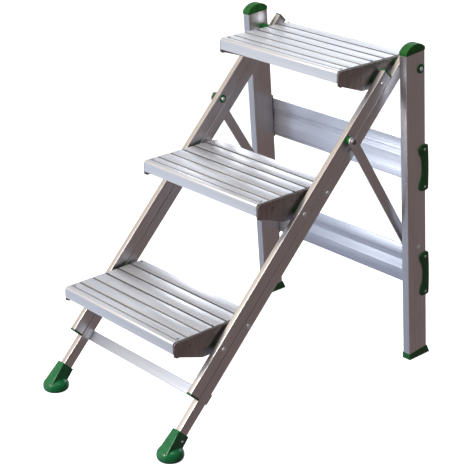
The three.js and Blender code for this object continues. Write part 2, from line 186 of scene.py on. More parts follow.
def arc(centre, radius, start, end, steps):
    """Points around a circle, angles in degrees."""
    turns = [math.radians(start + (end - start) * i / steps) for i in range(steps + 1)]
    return [(centre[0] + radius * math.cos(t), centre[1] + radius * math.sin(t)) for t in turns]


def bezier(start, control, end, steps=8):
    """Quadratic curve without its first point."""
    points = []
    for i in range(1, steps + 1):
        t = i / steps
        points.append(tuple((1 - t) ** 2 * a + 2 * t * (1 - t) * b + t * t * c
                            for a, b, c in zip(start, control, end)))
    return points


# ---- Solids in bmesh -----------------------------------------------------------------------------
def loft(rings, closed=False):
    """Skin over rings with the same number of points, capped at its ends unless it closes on itself."""
    bm = bmesh.new()
    rows = [[bm.verts.new(p) for p in ring] for ring in rings]
    pairs = list(zip(rows, rows[1:]))
    if closed:
        pairs.append((rows[-1], rows[0]))
    for low, high in pairs:
        for i in range(len(low)):
            j = (i + 1) % len(low)
            bm.faces.new((low[i], low[j], high[j], high[i]))
    if not closed:
        bm.faces.new(list(reversed(rows[0])))
        bm.faces.new(rows[-1])
    bmesh.ops.recalc_face_normals(bm, faces=bm.faces)
    return bm


def slab(outline, from_x, to_x, edge=0.6, steps=2):
    """Side outline of (y, z) points given thickness across the ladder, its outer edges rounded."""
    bm = loft([[(x, y, z) for y, z in outline] for x in (from_x, to_x)])
    if edge:
        rims = [e for e in bm.edges if abs(e.verts[0].co.x - e.verts[1].co.x) < 1e-6]
        bmesh.ops.bevel(bm, geom=rims, offset=edge, segments=steps, profile=0.5, affect="EDGES",
                        clamp_overlap=True)
    return bm


def block(outline, from_z, to_z, edge=0.6, steps=2):
    """Plan outline of (x, y) points given height, its two rims rounded."""
    bm = loft([[(x, y, z) for x, y in outline] for z in (from_z, to_z)])
    if edge:
        rims = [e for e in bm.edges if abs(e.verts[0].co.z - e.verts[1].co.z) < 1e-6]
        bmesh.ops.bevel(bm, geom=rims, offset=edge, segments=steps, profile=0.5, affect="EDGES",
                        clamp_overlap=True)
    return bm


def tube(section, from_z, to_z):
    """Extruded tube with rounded corners, inside and out, and open ends."""
    wall = section["wall"]
    outer = rectangle(section["width"], section["depth"], section["corner"])
    inner = rectangle(section["width"] - 2 * wall, section["depth"] - 2 * wall,
                      max(section["corner"] - wall, 0.6))
    loops = ((outer, from_z), (outer, to_z), (inner, to_z), (inner, from_z))
    return loft([[(x, y, z) for x, y in loop] for loop, z in loops], closed=True)


def turned(profile, steps=32, y=0, z=0):
    """Round piece about an axis across the ladder, from (radius, x) points."""
    on_axis = [profile[0][0] < 1e-6, profile[-1][0] < 1e-6]
    inside = profile[1 if on_axis[0] else 0:len(profile) - 1 if on_axis[1] else None]
    rings = [[(x, y + r * math.cos(2 * math.pi * i / steps), z + r * math.sin(2 * math.pi * i / steps))
              for i in range(steps)] for r, x in inside]
    return loft(rings, closed=not all(on_axis))


def ring(outer, inner, from_x, to_x, edge=0.5, y=0, z=0, steps=32):
    """Washer, bush or spacer with rounded rims."""
    e = min(edge, (to_x - from_x) / 2.5, (outer - inner) / 2.5)
    third = 0.3 * e
    profile = [(inner, from_x + e), (inner + e, from_x),
               (outer - e, from_x), (outer - third, from_x + third), (outer, from_x + e),
               (outer, to_x - e), (outer - third, to_x - third), (outer - e, to_x),
               (inner + e, to_x), (inner, to_x - e)]
    return turned(profile, steps, y, z)


def moved(bm, x=0, y=0, z=0):
    bmesh.ops.translate(bm, verts=bm.verts, vec=(x, y, z))
    return bm


def joined(*parts):
    """One bmesh that holds several closed shells."""
    whole = parts[0]
    for part in parts[1:]:
        mesh = bpy.data.meshes.new("part")
        part.to_mesh(mesh)
        part.free()
        whole.from_mesh(mesh)
        bpy.data.meshes.remove(mesh)
    return whole


def carved(bm, *tools):
    """bm less the tools, by an exact boolean."""
    def to_object(source):
        mesh = bpy.data.meshes.new("carving")
        source.to_mesh(mesh)
        source.free()
        return new_object("carving", mesh)

    body = to_object(bm)
    cutters = [to_object(tool) for tool in tools]
    for cutter in cutters:
        modifier = body.modifiers.new("cut", "BOOLEAN")
        modifier.operation = "DIFFERENCE"
        modifier.solver = "EXACT"
        modifier.object = cutter
    bpy.context.view_layer.update()
    evaluated = body.evaluated_get(bpy.context.evaluated_depsgraph_get())
    mesh = bpy.data.meshes.new_from_object(evaluated)
    result = bmesh.new()
    result.from_mesh(mesh)
    bpy.data.meshes.remove(mesh)
    for made in [body, *cutters]:
        used = made.data
        bpy.data.objects.remove(made)
        bpy.data.meshes.remove(used)
    return result


def box(low, high):
    corners = [(low[0], low[1]), (high[0], low[1]), (high[0], high[1]), (low[0], high[1])]
    return block(corners, low[2], high[2], edge=0)


# ---- Pieces --------------------------------------------------------------------------------------
def add_piece(name, bm, where, body, look, nodes=(), sharp=34):
    """Turns a bmesh in millimetres into a piece that rides on a body and stands for CAD nodes."""
    mesh = bpy.data.meshes.new(name)
    bm.to_mesh(mesh)
    bm.free()
    mesh.transform(Matrix.Scale(MM, 4))
    mesh.polygons.foreach_set("use_smooth", [True] * len(mesh.polygons))
    mesh.set_sharp_from_angle(angle=math.radians(sharp))
    mesh.materials.append(look["material"])
    piece = new_object(name, mesh)
    piece.matrix_world = where
    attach(piece, body)
    if nodes:
        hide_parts(*nodes)
    return piece


def add_pair(name, draw, where, body, look, nodes=True, sharp=34):
    """The right-hand piece as drawn and its mirror image on the left."""
    for side, sign in SIDES:
        bm = draw()
        if sign == LEFT:
            bmesh.ops.scale(bm, vec=(-1, 1, 1), verts=bm.verts)
            bmesh.ops.reverse_faces(bm, faces=bm.faces)
        node = f"{name}_{side}"
        add_piece(f"{node}_surface", bm, where, body, look, (node,) if nodes else (), sharp)


# ---- Materials -----------------------------------------------------------------------------------
class Nodes:
    """A node tree with short ways to add and link nodes."""

    def __init__(self, tree):
        self.tree = tree

    def add(self, kind, **settings):
        node = self.tree.nodes.new(kind)
        for key, value in settings.items():
            if key in node.inputs.keys():
                node.inputs[key].default_value = value
            else:
                setattr(node, key, value)
        return node

    def link(self, output, socket):
        self.tree.links.new(output, socket)

    def mixed(self, factor, low, high):
        """Colour between low and high, each a plain colour or another node's output."""
        node = self.add("ShaderNodeMix", data_type="RGBA")
        colours = [s for s in node.inputs if s.type == "RGBA"]
        for socket, value in zip(colours, (low, high)):
            if isinstance(value, tuple):
                socket.default_value = (*value, 1)
            else:
                self.link(value, socket)
        self.link(factor, node.inputs["Factor"])
        return [s for s in node.outputs if s.type == "RGBA"][0]


class MaterialNodes(Nodes):
    """The node tree of a new material, around its shader."""

    def __init__(self, name):
        self.material = bpy.data.materials.new(name)
        self.material.use_nodes = True
        super().__init__(self.material.node_tree)
        self.shader = self.tree.nodes["Principled BSDF"]

    def coordinates(self, scale):
        """Object coordinates, shifted by a different amount on each piece and stretched by scale."""
        where = self.add("ShaderNodeTexCoord")
        info = self.add("ShaderNodeObjectInfo")
        shift = self.add("ShaderNodeVectorMath", operation="SCALE")
        shift.inputs[0].default_value = (3.1, 1.7, 2.3)
        self.link(info.outputs["Random"], shift.inputs["Scale"])
        both = self.add("ShaderNodeVectorMath", operation="ADD")
        self.link(where.outputs["Object"], both.inputs[0])
        self.link(shift.outputs[0], both.inputs[1])
        mapping = self.add("ShaderNodeMapping")
        mapping.inputs["Scale"].default_value = scale
        self.link(both.outputs[0], mapping.inputs["Vector"])
        return mapping.outputs[0]

    def noise(self, scale, stretch=(1, 1, 1), detail=3.0, roughness=0.55):
        noise = self.add("ShaderNodeTexNoise", Scale=scale, Detail=detail, Roughness=roughness)
        self.link(self.coordinates(stretch), noise.inputs["Vector"])
        return noise.outputs["Fac"]

    def spread(self, value, low, high, from_low=0.3, from_high=0.7):
        """Maps a texture's middle range onto low to high."""
        node = self.add("ShaderNodeMapRange", clamp=True)
        node.inputs["From Min"].default_value = from_low
        node.inputs["From Max"].default_value = from_high
        node.inputs["To Min"].default_value = low
        node.inputs["To Max"].default_value = high
        self.link(value, node.inputs["Value"])
        return node.outputs["Result"]

    def bumped(self, *layers):
        """Chains bumps from (height output, strength, distance in metres)."""
        normal = None
        for height, strength, distance in layers:
            bump = self.add("ShaderNodeBump", Strength=strength, Distance=distance)
            self.link(height, bump.inputs["Height"])
            if normal:
                self.link(normal, bump.inputs["Normal"])
            normal = bump.outputs["Normal"]
        self.link(normal, self.shader.inputs["Normal"])


EVEN = (1, 1, 1)
ALONG_Z = (1, 1, 0.012)
ALONG_X = (0.012, 1, 1)


def extruded_metal(name, dark, light, roughness, stretch, clouds=0.5, metallic=1.0):
    """Extruded aluminium: die lines run along the bar, with cloudy patches over them."""
    nodes = MaterialNodes(name)
    lines = nodes.noise(900, stretch, 4, 0.7)
    bands = nodes.noise(170, stretch, 2, 0.5)
    cloud = nodes.noise(14, EVEN, 4, 0.6)
    streaked = nodes.mixed(nodes.spread(lines, 0, 1), dark, light)
    banded = nodes.mixed(nodes.spread(bands, 0, 0.5), streaked, dark)
    clouded = nodes.mixed(nodes.spread(cloud, 0, clouds, 0.45, 0.75), banded, dark)
    nodes.link(clouded, nodes.shader.inputs["Base Color"])
    nodes.shader.inputs["Metallic"].default_value = metallic
    nodes.link(nodes.spread(bands, roughness - 0.06, roughness + 0.08), nodes.shader.inputs["Roughness"])
    nodes.bumped((bands, 0.12, 0.0004), (lines, 0.1, 0.0001))
    return nodes.material


def moulded_plastic(name, dark, light, roughness, grain, specular=0.5):
    """Moulded plastic: slight mottling and a fine grain that breaks up the gloss."""
    nodes = MaterialNodes(name)
    mottle = nodes.noise(60, EVEN, 4, 0.6)
    fine = nodes.noise(1500, EVEN, 2, 0.5)
    scuffs = nodes.noise(240, (1, 1, 0.2), 5, 0.7)
    rough = nodes.spread(scuffs, roughness - 0.06, roughness + 0.12)
    nodes.link(nodes.mixed(nodes.spread(mottle, 0, 1), dark, light), nodes.shader.inputs["Base Color"])
    nodes.link(rough, nodes.shader.inputs["Roughness"])
    nodes.shader.inputs["Specular IOR Level"].default_value = specular
    nodes.bumped((mottle, 0.1, 0.001), (fine, grain, 0.0003))
    return nodes.material


def plated_steel(name, dark, light, metallic=1.0):
    """Bright plating with a fine, even mottle."""
    nodes = MaterialNodes(name)
    fine = nodes.noise(700, EVEN, 3, 0.6)
    nodes.link(nodes.mixed(nodes.spread(fine, 0, 1), dark, light), nodes.shader.inputs["Base Color"])
    nodes.shader.inputs["Metallic"].default_value = metallic
    nodes.link(nodes.spread(fine, 0.2, 0.36), nodes.shader.inputs["Roughness"])
    nodes.bumped((fine, 0.08, 0.0002))
    return nodes.material


BAR_ALUMINIUM = {"slot": "aluminium", "material": extruded_metal(
    "bar_aluminium", (0.56, 0.54, 0.54), (0.76, 0.74, 0.74), roughness=0.34, stretch=ALONG_Z)}
# The end plates' aluminium is the bars' aluminium with a darker, browner base: painted shade for the
# plates between deck and rails.
SHADED_PLATE_ALUMINIUM = {"slot": "aluminium", "material": extruded_metal(
    "plate_aluminium_painted_shade", (0.24, 0.21, 0.2), (0.52, 0.48, 0.47), roughness=0.38, stretch=(1, 1, 0.05),
    clouds=0.7)}
DECK_ALUMINIUM = {"slot": "brushed_aluminium", "material": extruded_metal(
    "deck_aluminium", (0.78, 0.8, 0.84), (0.88, 0.89, 0.92), roughness=0.42, stretch=ALONG_X,
    clouds=0.25, metallic=0.72)}
PANEL_ALUMINIUM = {"slot": "brushed_aluminium", "material": extruded_metal(
    "panel_aluminium", (0.62, 0.64, 0.72), (0.82, 0.84, 0.91), roughness=0.32, stretch=ALONG_X,
    clouds=0.7, metallic=0.7)}
CROSSBAR_ALUMINIUM = {"slot": "brushed_aluminium", "material": extruded_metal(
    "crossbar_aluminium", (0.66, 0.7, 0.79), (0.74, 0.78, 0.87), roughness=0.5, stretch=ALONG_X,
    clouds=0.3, metallic=0.45)}
# Painted shade for the grooves between the planks: dark, near-matte aluminium, paler and browner in the
# grooves near the nose.
GROOVE_SHADE = {"slot": "brushed_aluminium", "material": extruded_metal(
    "groove_painted_shade", (0.07, 0.072, 0.075), (0.16, 0.16, 0.16), roughness=0.6, stretch=ALONG_X,
    clouds=0.5, metallic=0.2)}
NOSE_GROOVE_SHADE = {"slot": "brushed_aluminium", "material": extruded_metal(
    "nose_groove_painted_shade", (0.2, 0.19, 0.18), (0.34, 0.33, 0.32), roughness=0.6, stretch=ALONG_X,
    clouds=0.5, metallic=0.3)}
GREEN_PLASTIC = {"slot": "green_plastic", "material": moulded_plastic(
    "green_plastic", (0.003, 0.13, 0.02), (0.006, 0.2, 0.036), roughness=0.26, grain=0.05, specular=0.4)}
BOOT_PLASTIC = {"slot": "green_plastic", "material": moulded_plastic(
    "boot_plastic", (0.004, 0.16, 0.045), (0.01, 0.27, 0.085), roughness=0.2, grain=0.05)}
GRAINED_PLASTIC = {"slot": "green_plastic", "material": moulded_plastic(
    "grained_plastic", (0.008, 0.1, 0.012), (0.024, 0.22, 0.03), roughness=0.42, grain=0.35,
    specular=0.3)}
ZINC = {"slot": "zinc", "material": plated_steel(
    "zinc_plate", (0.82, 0.85, 0.88), (0.96, 0.97, 0.98), metallic=0.75)}
DARK_STEEL = {"slot": "zinc", "material": plated_steel(
    "dark_steel", (0.1, 0.1, 0.11), (0.26, 0.26, 0.27))}


# ---- Fasteners -----------------------------------------------------------------------------------
def dome(radius, height, face, y=0, z=0):
    """Low domed head on the face at x = face."""
    points = [(0, face), (radius, face), (radius, face + 0.25 * height)]
    points += [(radius * math.cos(t), face + height * (0.25 + 0.75 * math.sin(t)))
               for t in (math.radians(a) for a in (20, 40, 60, 75))]
    return turned(points + [(0, face + height)], 28, y, z)


def hexagon_nut(from_x, to_x, across, y=0, z=0):
    """Hexagon nut with chamfered corners."""
    outline = arc((y, z), across / math.sqrt(3), 0, 300, 5)
    return slab(outline, from_x, to_x, edge=0.5, steps=1)


def bolt(kind, head_x, nut_x, y=0, z=0):
    """Domed head outside, plain shank, nut at the inner end with the thread showing a little."""
    radius = kind["radius"]
    shank = turned([(0, nut_x - 1), (radius - 0.4, nut_x - 1), (radius, nut_x - 0.4),
                    (radius, head_x + 0.5), (0, head_x + 0.5)], 24, y, z)
    return joined(dome(kind["head_radius"], kind["head_height"], head_x, y, z), shank,
                  hexagon_nut(nut_x, nut_x + NUT_HEIGHT, kind["nut_across"], y, z))


# ---- Rear frame ----------------------------------------------------------------------------------
def leg_tube():
    return moved(tube(LEG, LEG_BOTTOM, LEG_TOP), LEG_X, LEG_MIDDLE)


def leg_cap():
    """Cap with straight shoulders and an arched crown."""
    reach = LEG["depth"] / 2 + 0.6
    half = LEG["width"] / 2 + 0.6
    shoulder, crown = 7, 20
    haunch = reach * 0.62
    outline = [(-reach, 0), (reach, 0), (reach, shoulder)]
    outline += bezier((reach, shoulder), (haunch, crown), (0, crown), 10)
    outline += bezier((0, crown), (-haunch, crown), (-reach, shoulder), 10)
    return moved(slab(outline, -half, half, edge=1.6, steps=4), LEG_X, LEG_MIDDLE, LEG_TOP + GAP)


def leg_foot():
    """Shoe level underneath and square to the leg on top, its heel reaching out behind."""
    half = LEG["width"] / 2 + 1
    front = LEG_MIDDLE - LEG["depth"] / 2 - 1
    rear = LEG_MIDDLE + LEG["depth"] / 2 + 1
    top = LEG_BOTTOM - GAP

    def floor(y):
        """Height of the floor under a point of the shoe, in the leg's frame."""
        return -(LEG_PIVOT.z / MM + y * math.sin(LEG_LEAN)) / math.cos(LEG_LEAN)

    outline = [(front, top), (front, floor(front)), (rear + 9, floor(rear + 9)), (rear, top)]
    outline = rounded(outline, 1.2, 3)
    return moved(slab(outline, -half, half, edge=0.9, steps=3), LEG_X)


def panel_outline():
    """Section of a cross panel: upper band, sunk groove, slope, and a lower band that stands forward."""
    top = PANEL_HEIGHT / 2
    wall = PANEL_WALL
    face = PANEL_FRONT
    band = face + 0.7
    groove = face + 2.3
    front = [(band, top, 0.7), (band, top - 26.5, 0.5), (groove - 0.6, top - 28, 0.5),
             (groove, top - 42, 1.2), (face, top - 65, 2), (face, -top, 0.7)]
    back = [(face + wall, -top + wall), (face + wall, top - 66), (groove + wall, top - 43),
            (groove + wall - 0.6, top - 27), (band + wall, top - 26), (band + wall, top - wall)]
    return [(PANEL_REAR, top), *front, (PANEL_REAR, -top), (PANEL_REAR, -top + wall), *back,
            (PANEL_REAR, top - wall)]


def cross_panel(height):
    outline = rounded(panel_outline(), 0.4, 3)
    return moved(slab(outline, -PANEL_HALF, PANEL_HALF, edge=0), z=height)


def bumper_outline():
    """Waisted outline: a round lobe at each end, and a back that swells a little."""
    half, lobe = BUMPER["half"], BUMPER["lobe"]
    front, waist, rear = BUMPER["front"], BUMPER["waist"], BUMPER["rear"]
    curves = [
        ((rear + 3, 0), (rear, half - 6)),
        ((rear, half), (rear - 9, half)),
        ((front, half), (front, half - lobe * 0.55)),
        ((front, half - lobe), (waist - 6, half - lobe * 1.5)),
        ((waist, half - lobe * 2), (waist, 0)),
        ((waist, -half + lobe * 2), (waist - 6, -half + lobe * 1.5)),
        ((front, -half + lobe), (front, -half + lobe * 0.55)),
        ((front, -half), (rear - 9, -half)),
        ((rear, -half), (rear, -half + 6)),
    ]
    outline = [(rear, -half + 6)]
    for control, end in curves:
        outline += bezier(outline[-1], control, end, 7)
    return outline[:-1]


def panel_bumper(height):
    """Moulded guard: cheek on the leg's outer face, wrapped round behind it over the panel's end."""
    outer = LEG_OUTER + GAP + BUMPER["cheek"]
    whole = slab(bumper_outline(), LEG_INNER + 2, outer, edge=2.4, steps=5)
    reach = BUMPER["half"] + 1
    half = PANEL_HEIGHT / 2 + GAP
    front = PANEL_FRONT - GAP
    leg_space = box((LEG_INNER - 1, BUMPER["front"] - 1, -reach),
                    (LEG_OUTER + GAP, PANEL_FRONT + 0.2, reach))
    panel_space = box((LEG_INNER, front, -half), (PANEL_HALF + GAP, PANEL_REAR + GAP, half))
    mouth = box((LEG_INNER + 0.5, front - 0.1, -half - 0.05),
                (LEG_INNER + 12, PANEL_REAR + 5, half + 0.05))
    return moved(carved(whole, leg_space, panel_space, mouth), z=height)


def bumper_rivets(height):
    """One low rivet in each of the bumper's lobes."""
    face = LEG_OUTER + GAP + BUMPER["cheek"] - 0.1
    offset = BUMPER["half"] - BUMPER["rivet_inset"]
    return joined(*(dome(3, 1.1, face, BUMPER["rivet_y"], height + end * offset) for end in (1, -1)))


def add_rear_frame():
    body = "rear_frame"
    add_pair("rear_leg", leg_tube, LEGS, body, BAR_ALUMINIUM)
    add_pair("leg_top_cap", leg_cap, LEGS, body, GRAINED_PLASTIC)
    add_pair("leg_foot", leg_foot, LEGS, body, GREEN_PLASTIC)
    for level, height in PANEL_CENTRES.items():
        node = f"{level}_cross_panel"
        add_piece(f"{node}_surface", cross_panel(height), LEGS, body, PANEL_ALUMINIUM, (node,), sharp=20)
        add_pair(f"{level}_panel_bumper", lambda: panel_bumper(height), LEGS, body, GREEN_PLASTIC)
        add_pair(f"{level}_bumper_rivets", lambda: bumper_rivets(height), LEGS, body, ZINC, nodes=False)
    disc_face = LEG_OUTER + PIVOT_DISC["thickness"]
    add_pair("leg_pivot_bolt", lambda: bolt(LEG_BOLT, disc_face, NUT_START), LEGS, body, ZINC)
    add_pair("leg_pivot_disc", lambda: ring(
        PIVOT_DISC["radius"], LARGE_BOLT, LEG_OUTER, disc_face, 0.8),
        LEGS, body, GREEN_PLASTIC, nodes=False)
    add_pair("leg_pivot_spacer", lambda: ring(
        SPACER_RADIUS["leg_pivot"], LARGE_BOLT, REAR_RAIL_FACE + GAP, LEG_INNER - GAP),
        LEGS, body, GREEN_PLASTIC)
    y, z = STRUT_LOWER.y, STRUT_LOWER.z
    nut_x = STRUT["x"] - GAP - NUT_HEIGHT
    add_pair("strut_lower_bolt", lambda: bolt(STRUT_BOLT, LEG_OUTER, nut_x, y, z), LEGS, body, ZINC)
    spacer_x = STRUT["x"] + STRUT["thickness"] + GAP
    add_pair("strut_lower_spacer", lambda: ring(
        SPACER_RADIUS["strut_lower"], LARGE_BOLT, spacer_x, LEG_INNER - GAP, y=y, z=z),
        LEGS, body, GREEN_PLASTIC)


# ---- Climbing frame ------------------------------------------------------------------------------
def rail_tube(section, y):
    return moved(tube(section, section["start"] - RAIL_RUN, section["end"] - RAIL_RUN), RAIL_X, y)


def end_plug(section, y, along, upward):
    """Plug in the end of a rail: a flange with soft rims on an insert."""
    outline = rectangle(section["width"] + 1, section["depth"], section["corner"])
    flange = block(outline, 0, section["flange"], 0.9, 3)
    inset = 2 * section["wall"] + 1
    inner = rectangle(section["width"] - inset, section["depth"] - inset, 0.8, 2)
    plug = joined(flange, block(inner, -PLUG_DEPTH, 0.5, 0.4, 1))
    if not upward:
        half_turn = Matrix.Rotation(math.pi, 3, "X")
        bmesh.ops.rotate(plug, verts=plug.verts, cent=(0, 0, 0), matrix=half_turn)
    return moved(plug, RAIL_X, y, along)


def superellipse(half_x, half_y, power, steps=48):
    """Rounded rectangle whose corners sharpen with the power."""
    points = []
    for i in range(steps):
        t = 2 * math.pi * (i + 0.5) / steps
        c, s = math.cos(t), math.sin(t)
        points.append((math.copysign(abs(c) ** (2 / power), c) * half_x,
                       math.copysign(abs(s) ** (2 / power), s) * half_y))
    return points


UP_RAIL = Vector((0, math.cos(RAIL_ANGLE), math.sin(RAIL_ANGLE)))
AHEAD_OF_RAIL = Vector((0, -math.sin(RAIL_ANGLE), math.cos(RAIL_ANGLE)))
BOOT_TOP = 66.5  # along the rail, from the floor
SOLE_CENTRE = 15.5  # behind the point where the rail's middle line meets the floor
BOOT_RIVET = {"along": 51, "behind": 4.5, "x": RAIL_X + 11.4}


def boot_section(run, half_x, front, rear, power):
    """Ring round the rail, reaching front and rear of its middle line."""
    middle = UP_RAIL * run + AHEAD_OF_RAIL * (front - rear) / 2
    return [middle + Vector((x, 0, 0)) - AHEAD_OF_RAIL * y
            for x, y in superellipse(half_x, (front + rear) / 2, power)]


def boot_sleeve():
    """Sleeve that widens down the rail, with the rail's socket in its top."""
    half_x = REAR_RAIL["width"] / 2 + GAP
    half_y = REAR_RAIL["depth"] / 2 + GAP
    socket = [boot_section(run, half_x, half_y, half_y, 14)
              for run in (REAR_RAIL["start"] - GAP, BOOT_TOP)]
    outside = [boot_section(*sizes) for sizes in (
        (BOOT_TOP, 9.5, 18.2, 16.2, 16), (BOOT_TOP - 0.8, 10.3, 19, 17, 16), (52, 11.6, 19.2, 17, 16),
        (37, 13, 19.4, 16.6, 15), (22, 14.2, 19.4, 10, 14), (8, 15.2, 19.2, 3, 12))]
    return loft(socket + outside)


def boot_sole():
    """Thick round sole with a domed top, from (radius, height) points."""
    profile = ((25.6, 0), (27.6, 1.2), (28.9, 3.6), (29.5, 6.5), (29.6, 9.5), (29.2, 12.5), (28.2, 15.5),
               (26.4, 18.5), (23.6, 21.3), (19.5, 23.8), (13.5, 25.8), (6, 26.8))
    return loft([[(x, y, z) for x, y in arc((0, SOLE_CENTRE), radius, 0, 352.5, 47)]
                 for radius, z in profile])


def rail_foot():
    """Boot, drawn upright on the floor with its origin where the rail's middle line meets the floor."""
    return moved(joined(boot_sleeve(), boot_sole()), RAIL_X)


def boot_rivet():
    """Rivet in the outer side of the boot's sleeve."""
    point = UP_RAIL * BOOT_RIVET["along"] - AHEAD_OF_RAIL * BOOT_RIVET["behind"]
    return dome(3.2, 1.6, BOOT_RIVET["x"], point.y, point.z)


def rail_crossbar():
    """Flat bar across the backs of the rear rails."""
    section = rectangle(CROSSBAR["thickness"], CROSSBAR["width"], 1, 4)
    rear = REAR_RAIL["depth"] / 2 + GAP + CROSSBAR["thickness"] / 2
    along = CROSSBAR["along"] - RAIL_RUN
    return moved(slab(section, -CROSSBAR["half"], CROSSBAR["half"], edge=0.5), y=rear, z=along)


def tread_bush(rail_inner, y, z):
    """Green bush between a tread's end plate and the rail."""
    return ring(BUSH_RADIUS, SMALL_BOLT, PLATE_OUTER + GAP, rail_inner - GAP, 0.6, y, z)


def add_climbing_frame():
    body = "climbing_frame"
    rail_inner = RAIL_X - REAR_RAIL["width"] / 2
    add_pair("rear_rail", lambda: rail_tube(REAR_RAIL, 0), RAILS, body, BAR_ALUMINIUM)
    ground = Matrix.Translation(RAILS @ Vector((0, 0, -RAIL_RUN * MM)))
    add_pair("rail_foot", rail_foot, ground, body, BOOT_PLASTIC, sharp=50)
    add_pair("rail_foot_rivet", boot_rivet, ground, body, ZINC, nodes=False)
    add_pair("rear_rail_top_plug", lambda: end_plug(
        REAR_RAIL, 0, REAR_RAIL["end"] - RAIL_RUN + GAP, True), RAILS, body, GREEN_PLASTIC)
    add_piece("rail_crossbar_surface", rail_crossbar(), RAILS, body, CROSSBAR_ALUMINIUM,
              ("rail_crossbar",))
    for name in TREADS:
        along = REAR_PIVOTS[name]
        add_pair(f"{name}_tread_rear_bush", lambda: tread_bush(rail_inner, 0, along), RAILS, body,
                 GREEN_PLASTIC, nodes=False)
        if name != "top":
            add_pair(f"{name}_tread_rear_bolt", lambda: bolt(
                TREAD_BOLT, REAR_RAIL_FACE, NUT_START, 0, along), RAILS, body, ZINC)


def add_front_rails():
    body = "front_rails"
    rail_inner = RAIL_X - FRONT_RAIL["width"] / 2
    y = -RAIL_OFFSET
    add_pair("front_rail", lambda: rail_tube(FRONT_RAIL, y), RAILS, body, BAR_ALUMINIUM)
    ends = (("top", FRONT_RAIL["end"] + GAP, True), ("bottom", FRONT_RAIL["start"] - GAP, False))
    for end, along, upward in ends:
        add_pair(f"front_rail_{end}_plug", lambda: end_plug(
            FRONT_RAIL, y, along - RAIL_RUN, upward), RAILS, body, GREEN_PLASTIC)
    for name in TREADS:
        z = FRONT_PIVOTS[name]
        add_pair(f"{name}_tread_front_bush", lambda: tread_bush(rail_inner, y, z), RAILS, body,
                 GREEN_PLASTIC, nodes=False)
        add_pair(f"{name}_tread_front_bolt", lambda: bolt(
            TREAD_BOLT, FRONT_RAIL_FACE, NUT_START, y, z), RAILS, body, ZINC)
    z = STRUT_UPPER
    washer_x = rail_inner - 2
    radius = SPACER_RADIUS["strut_upper"]
    add_pair("strut_upper_spacer", lambda: ring(
        radius, LARGE_BOLT, FRONT_RAIL_FACE + GAP, STRUT["x"] - GAP, 0.8, y, z),
        RAILS, body, GREEN_PLASTIC)
    add_pair("strut_upper_washer", lambda: ring(radius, LARGE_BOLT, washer_x, rail_inner, 0.7, y, z),
             RAILS, body, GREEN_PLASTIC, nodes=False)
    add_pair("strut_upper_bolt", lambda: inner_bolt(washer_x, y, z), RAILS, body, ZINC)


def inner_bolt(face, y, z):
    """Bolt whose domed head is on the inner side of the rail."""
    end = STRUT["x"] - GAP
    head = [(0, face - 3.2), (2, face - 3), (3.6, face - 2.3), (4.6, face - 1.2), (4.8, face)]
    return turned(head + [(LARGE_BOLT, face), (LARGE_BOLT, end), (0, end)], 28, y, z)


# ---- Treads --------------------------------------------------------------------------------------
def groove(at, half, depth):
    """Sunk groove with soft shoulders, as points from front to rear."""
    return [(at - half, 0), (at - half * 0.78, -0.12 * depth), (at - half * 0.55, -0.85 * depth),
            (at - half * 0.3, -depth), (at + half * 0.3, -depth), (at + half * 0.55, -0.85 * depth),
            (at + half * 0.78, -0.12 * depth), (at + half, 0)]


def deck_outline():
    """Section of the tread: front lip, round nose, planks between grooves, rear lip, hollow beneath."""
    wall = TREAD_WALL
    points = [(wall, -TREAD_LIP), (0.8, -TREAD_LIP), (0, -TREAD_LIP + 0.8), (0.35, -19), (0.5, -14)]
    points += arc((NOSE_RADIUS, -NOSE_RADIUS), NOSE_RADIUS, 180, 90, 12)
    points += groove(NOSE_GROOVE["at"], NOSE_GROOVE["half"], NOSE_GROOVE["depth"])
    for i in range(GROOVE["count"]):
        points += groove(GROOVE["first"] + GROOVE["pitch"] * i, GROOVE["half"], GROOVE["depth"])
    rear = TREAD_DEPTH
    points += [(rear - 3, 0), (rear - 1.2, -0.4), (rear - 0.3, -1.4), (rear, -3)]
    points += [(rear, -TREAD_REAR_LIP), (rear - wall, -TREAD_REAR_LIP), (rear - wall, -6)]
    points += [(rear - 6, -wall - 1.2), (NOSE_RADIUS + 1, -wall - 1.2), (wall + 1.2, -6), (wall, -11)]
    return [(y - REAR_PIVOT_Y, z - REAR_PIVOT_Z) for y, z in points]


def tread_deck():
    return slab(deck_outline(), -TREAD_HALF, TREAD_HALF, edge=0.35, steps=2)


def paint_groove_shade(deck):
    """Paints shade into the sunk faces between the planks: dark grey, paler and browner towards the
    nose.
    """
    deck.data.materials.append(GROOVE_SHADE["material"])
    deck.data.materials.append(NOSE_GROOVE_SHADE["material"])
    groove_shade_slot, nose_shade_slot = 1, 2
    nose_groove_painted_shade_end = 90
    for face in deck.data.polygons:
        centre = face.center / MM
        behind_nose = centre.y + REAR_PIVOT_Y
        below_top = -REAR_PIVOT_Z - centre.z
        if 12 < behind_nose < TREAD_DEPTH - 10 and 0.2 < below_top < 2.6:
            face.material_index = groove_shade_slot if behind_nose > nose_groove_painted_shade_end else nose_shade_slot


def front_pivot():
    """Front pivot in the tread's frame."""
    return (-PIVOT_SPAN * math.cos(RAIL_ANGLE) - RAIL_OFFSET * math.sin(RAIL_ANGLE),
            -PIVOT_SPAN * math.sin(RAIL_ANGLE) + RAIL_OFFSET * math.cos(RAIL_ANGLE))


def end_plate():
    """Plate on the tread's end: a small hook under the nose, deepest below the front pivot."""
    pivot_y, pivot_z = front_pivot()
    low = pivot_z - 13.5
    top = -2.5 - REAR_PIVOT_Z
    hook = top - 35
    nose = 1.2 - REAR_PIVOT_Y
    rear = TREAD_DEPTH - 1.5 - REAR_PIVOT_Y
    outline = [(nose, top, 7), (nose, hook + 4.5, 2.5), (nose + 8, hook - 0.5, 4),
               (nose + 14, hook, 3), (nose + 77, low, 10), (pivot_y + 7, low, 7),
               (pivot_y + 18, low + 7, 12), (20, -13, 30), (rear, -8, 3), (rear, top, 3)]
    return slab(rounded(outline, 2, 5), PLATE_INNER, PLATE_OUTER, edge=0.9, steps=3)


